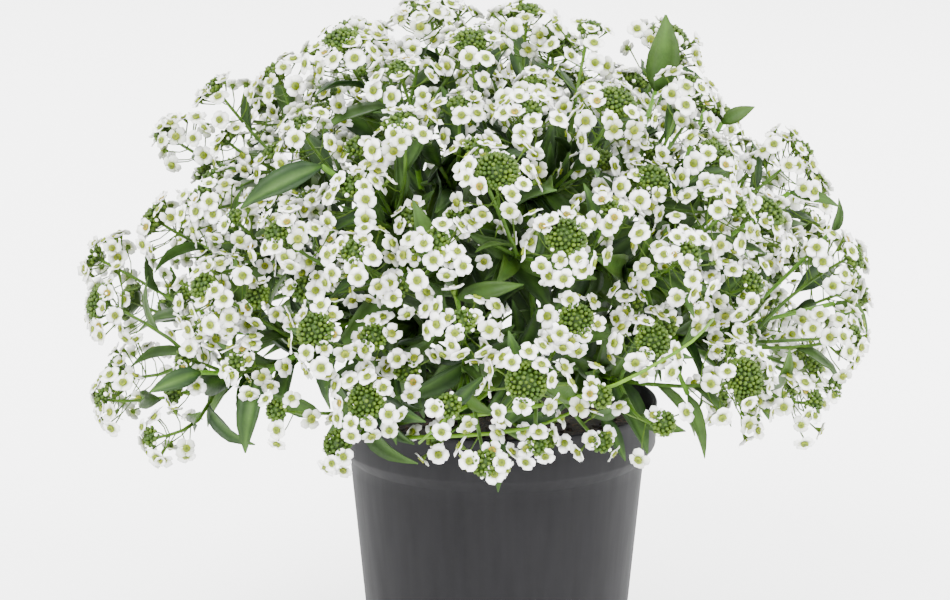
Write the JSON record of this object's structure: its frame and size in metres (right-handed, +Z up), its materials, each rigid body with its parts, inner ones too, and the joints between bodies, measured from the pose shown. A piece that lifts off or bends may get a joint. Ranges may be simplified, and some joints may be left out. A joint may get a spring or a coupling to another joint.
{
  "type": "potted sweet alyssum",
  "caption": "Flowering sweet alyssum, a low round dome of small white flower heads on leafy green stems, in its round dark plastic nursery pot of soil.",
  "frame": {"origin": "centre of the pot's flat foot, on the surface that the pot stands on", "axes": "+Z up along the pot's axis, -Y towards the front of the plant, +X to its right"},
  "size_m": [0.2494, 0.2447, 0.2212],
  "materials": {
    "pot": "dark grey moulded plastic, satin, with faint upright streaks",
    "soil": null,
    "leafy_stem": null,
    "spray": null
  },
  "bodies": {
    "root": {"pot": "pot", "soil": "soil", "leafy_stem_1": "leafy_stem", "leafy_stem_2": "leafy_stem", "leafy_stem_3": "leafy_stem", "leafy_stem_4": "leafy_stem", "leafy_stem_5": "leafy_stem", "leafy_stem_6": "leafy_stem", "leafy_stem_7": "leafy_stem", "leafy_stem_8": "leafy_stem", "spray_01": "spray", "spray_02": "spray", "spray_03": "spray", "spray_04": "spray", "spray_05": "spray", "spray_06": "spray", "spray_07": "spray", "spray_08": "spray", "spray_09": "spray", "spray_10": "spray", "spray_11": "spray", "spray_12": "spray", "spray_13": "spray", "spray_14": "spray", "spray_15": "spray", "spray_16": "spray", "spray_17": "spray", "spray_18": "spray", "spray_19": "spray", "spray_20": "spray", "spray_21": "spray", "spray_22": "spray", "spray_23": "spray", "spray_24": "spray", "spray_25": "spray", "spray_26": "spray", "spray_27": "spray", "spray_28": "spray", "spray_29": "spray", "spray_30": "spray", "spray_31": "spray", "spray_32": "spray", "spray_33": "spray", "spray_34": "spray", "spray_35": "spray", "spray_36": "spray", "spray_37": "spray", "spray_38": "spray", "spray_39": "spray", "spray_40": "spray", "spray_41": "spray", "spray_42": "spray"}
  },
  "joints": []
}
